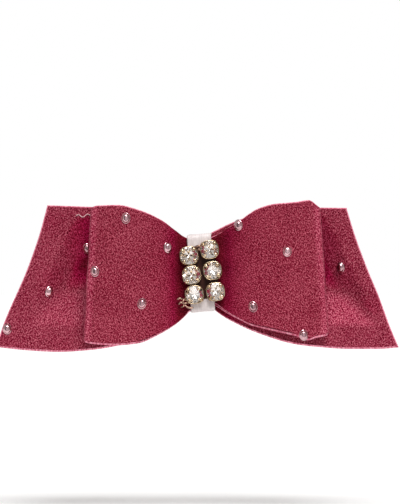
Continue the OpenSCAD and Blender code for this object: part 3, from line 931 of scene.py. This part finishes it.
def make_stud(node, cloth, material, turn, tip):
    """An oval nailhead pressed a little askew on the cloth: a low dome with a thin rolled rim."""
    low, high = box_mm(node)
    centre = (low + high) / 2
    half_w = (high[0] - low[0]) / 2
    half_l = (high[2] - low[2]) / 2 * 0.92
    hit, normal = surface_at(cloth, centre[0], centre[2])
    # share of the outline and height, from near the crown out to the rim's foot
    profile = [(0.20, 0.995), (0.34, 0.975), (0.46, 0.93), (0.58, 0.84), (0.69, 0.69), (0.78, 0.50),
               (0.84, 0.34), (0.89, 0.27), (0.95, 0.24), (0.99, 0.17), (1.0, 0.09), (0.97, 0.0)]
    height, sunk = 1.0, 0.12
    segments = 28
    mesh = bmesh.new()
    rings = [[mesh.verts.new((r * half_w * math.cos(a), r * half_l * math.sin(a), z * height))
              for a in np.linspace(0, 2 * math.pi, segments, endpoint=False)] for r, z in profile]
    crown = mesh.verts.new((0, 0, height))
    for k in range(segments):
        mesh.faces.new((crown, rings[0][k], rings[0][(k + 1) % segments]))
    skin(mesh, rings)
    mesh.faces.new(rings[-1])
    piece = solid_piece(node + "_head", mesh, material)
    facing = normal.to_track_quat("Z", "Y").to_matrix().to_4x4()
    upright = facing.inverted() @ Vector((0, 0, 1))
    spin = math.atan2(upright.y, upright.x) - math.pi / 2 + turn
    askew = Matrix.Rotation(spin, 4, "Z") @ Matrix.Rotation(tip, 4, "X")
    bake_place(piece, Matrix.Translation(hit - normal * sunk * MM) @ facing @ askew)
    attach(piece, ROOT)
    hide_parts(node)


# ---------------------------------------------------------------- build

# the last tint of each is painted shade on cloth that faces down
crepe = crepe_material("loop_crepe", turn=40, even=(1.0, 1.10, 1.06), shade_tint=(0.80, 0.22, 0.58))
crepe_back = crepe_material("tail_crepe", turn=-35, even=(1.0, 1.22, 1.16), shade_tint=(1.12, 0.24, 0.82))
cut_edge = cut_edge_material()
satin = satin_material()
steel = metal_material("nickel_steel", (0.37, 0.366, 0.362), (0.45, 0.446, 0.44), rough=0.22,
                       stretch=(0.06, 1, 1), scale=3000.0, bump_strength=0.06)
spring = metal_material("spring_steel", (0.27, 0.27, 0.28), (0.34, 0.34, 0.34), rough=0.28,
                        stretch=(0.04, 1, 1), scale=3000.0, bump_strength=0.06)
brass = metal_material("gilt_brass", (0.38, 0.25, 0.14), (0.82, 0.66, 0.46), rough=0.20)
# the pink in the silvered studs is a painted reflection of the red cloth round them
stud_metal = metal_material("stud_silvered", (0.44, 0.24, 0.27), (0.84, 0.53, 0.57), rough=0.16,
                            scale=1400.0)
crystal = crystal_material()
foil = foil_material()

# the loops' colour gets painted shade at the gathers and on downward faces, and painted highlight on
# upward faces and along the folds
points, strip, fold_highlight, ring_length = front_bow_points()
loops = cloth_piece("bow_loops", points, strip, FABRIC_T, crepe, cut_edge, closed=True,
                    painted_shading=painted_shading_at(points, light_slope=1.6, shade_slope=1.0, shading_shift=fold_highlight))
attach(loops, ROOT)
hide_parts("front_bow")

# the tails' colour gets painted shade on downward faces and deep in the scoops, and painted highlight on
# upward faces
points, strip, recess_shade = tails_points()
tails = cloth_piece("bow_tails", points, strip, FABRIC_T, crepe_back, cut_edge,
                    painted_shading=painted_shading_at(points, light_slope=by_side(points[:, :, 0], 0.80, 0.34),
                                shade_slope=0.25, shading_shift=-recess_shade))
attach(tails, ROOT)
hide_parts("tails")

points, strip, wrap_t = wrap_points()
wrap = cloth_piece("satin_wrap", points, strip, wrap_t, satin, satin, closed=True)
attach(wrap, ROOT)
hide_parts("centre_wrap")

make_winding(thread_material("gathering_thread", (0.14, 0.02, 0.04), (0.34, 0.07, 0.11)))
make_gap_shade_bed(gap_shade_material())
dull_brass = metal_material("dull_brass", (0.20, 0.10, 0.07), (0.62, 0.40, 0.31), rough=0.30)
make_chain_end(dull_brass)
make_chain_top(dull_brass)
make_stray_fibre(tails, thread_material("loose_fibre", (0.55, 0.28, 0.31), (0.78, 0.48, 0.50)))
draw = random.Random(21)
for node in sorted(NODES):
    if node.startswith("cup_"):
        make_cup(node, brass, CUP_LEAN)
    elif node.startswith("crystal_"):
        make_crystal(node, [crystal, foil], draw.uniform(0, 0.8))
    elif node.startswith("stud_"):
        cloth = tails if node.startswith("stud_tail") else loops
        make_stud(node, cloth, stud_metal, draw.uniform(-0.25, 0.25), draw.uniform(-0.13, 0.13))

CAD_FINISHES = {
    "base_plate": steel, "hinge_pin": steel, "clasp_arm": steel, "tension_bar": spring,
    "catch_prong_upper": steel, "catch_prong_lower": steel, "glue_pad": felt_material(),
    "link_left_upper": brass, "link_left_lower": brass,
    "link_right_upper": brass, "link_right_lower": brass}
for node, material in CAD_FINISHES.items():
    NODES[node].data.materials.clear()
    NODES[node].data.materials.append(material)

# ---------------------------------------------------------------- studio

def soft_sun(name, direction, power, spread):
    """A wide soft light from a direction, given as the vector from the object to the light."""
    data = bpy.data.lights.new(name, "SUN")
    data.energy = power
    data.angle = math.radians(spread)
    light = bpy.data.objects.new(name, data)
    bpy.context.scene.collection.objects.link(light)
    light.rotation_euler = Vector(direction).to_track_quat("Z", "Y").to_euler()


def studio_floor():
    """A large pale disc below the bow, mostly behind it."""
    drop = 42 * MM
    radius, before = 3.0, 0.12
    place = (0, radius - before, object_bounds()[0][2] - drop)
    bpy.ops.mesh.primitive_circle_add(vertices=256, radius=radius, fill_type="NGON", location=place)
    floor = bpy.context.object
    floor.name = "studio_floor"
    material, shader, add, link = new_material("studio_white")
    place = add("TexCoord").outputs["Object"]
    paper = add("TexNoise", {"Vector": place, "Scale": 40.0}).outputs["Fac"]
    link(ramp(add, paper, [(0.3, (0.94, 0.94, 0.94)), (0.7, (0.96, 0.96, 0.96))]), "Base Color")
    shader.inputs["Roughness"].default_value = 1.0
    shader.inputs["Specular IOR Level"].default_value = 0.0
    floor.data.materials.append(material)
    floor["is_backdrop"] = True


def studio_world():
    """White as a backdrop; to the object a pale room that is dim in front of the bow."""
    world = bpy.data.worlds.new("studio")
    bpy.context.scene.world = world
    world.use_nodes = True
    tree = world.node_tree
    background = tree.nodes["Background"]
    place = tree.nodes.new("ShaderNodeTexCoord")
    toward = tree.nodes.new("ShaderNodeVectorMath")
    toward.operation = "DOT_PRODUCT"
    toward.inputs[1].default_value = (0, -1, 0)
    tree.links.new(place.outputs["Generated"], toward.inputs[0])
    opening = tree.nodes.new("ShaderNodeMapRange")
    opening.interpolation_type = "SMOOTHSTEP"
    opening.inputs["From Min"].default_value = 0.50
    opening.inputs["From Max"].default_value = 0.92
    tree.links.new(toward.outputs["Value"], opening.inputs["Value"])
    room = tree.nodes.new("ShaderNodeMix")
    room.data_type = "RGBA"
    room.inputs["A"].default_value = (0.55, 0.54, 0.53, 1)
    room.inputs["B"].default_value = (0.10, 0.09, 0.09, 1)
    tree.links.new(opening.outputs["Result"], room.inputs["Factor"])
    path = tree.nodes.new("ShaderNodeLightPath")
    mix = tree.nodes.new("ShaderNodeMix")
    mix.data_type = "RGBA"
    mix.inputs["B"].default_value = (1, 1, 1, 1)
    tree.links.new(path.outputs["Is Camera Ray"], mix.inputs["Factor"])
    tree.links.new(room.outputs["Result"], mix.inputs["A"])
    tree.links.new(mix.outputs["Result"], background.inputs["Color"])


def camera():
    """A long lens, level with the bow and square to it."""
    data = bpy.data.cameras.new("camera")
    data.sensor_fit = "HORIZONTAL"
    data.sensor_width = 36.0
    distance = 1.2
    frame_width = 0.106
    aim_x, aim_z = -0.0005, 0.0061
    data.lens = data.sensor_width * distance / frame_width
    data.clip_end = 10
    view = bpy.data.objects.new("camera", data)
    bpy.context.scene.collection.objects.link(view)
    view.location = (aim_x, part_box("tails")[0][1] - distance, aim_z)
    view.rotation_euler = (math.radians(90), 0, 0)
    bpy.context.scene.camera = view
    bpy.context.scene.view_settings.view_transform = "Standard"


studio_floor()
studio_world()
soft_sun("key_light", (0.12, -0.70, 0.80), power=2.8, spread=34)
soft_sun("fill_light", (0.15, -1.0, 0.02), power=0.35, spread=50)
camera()
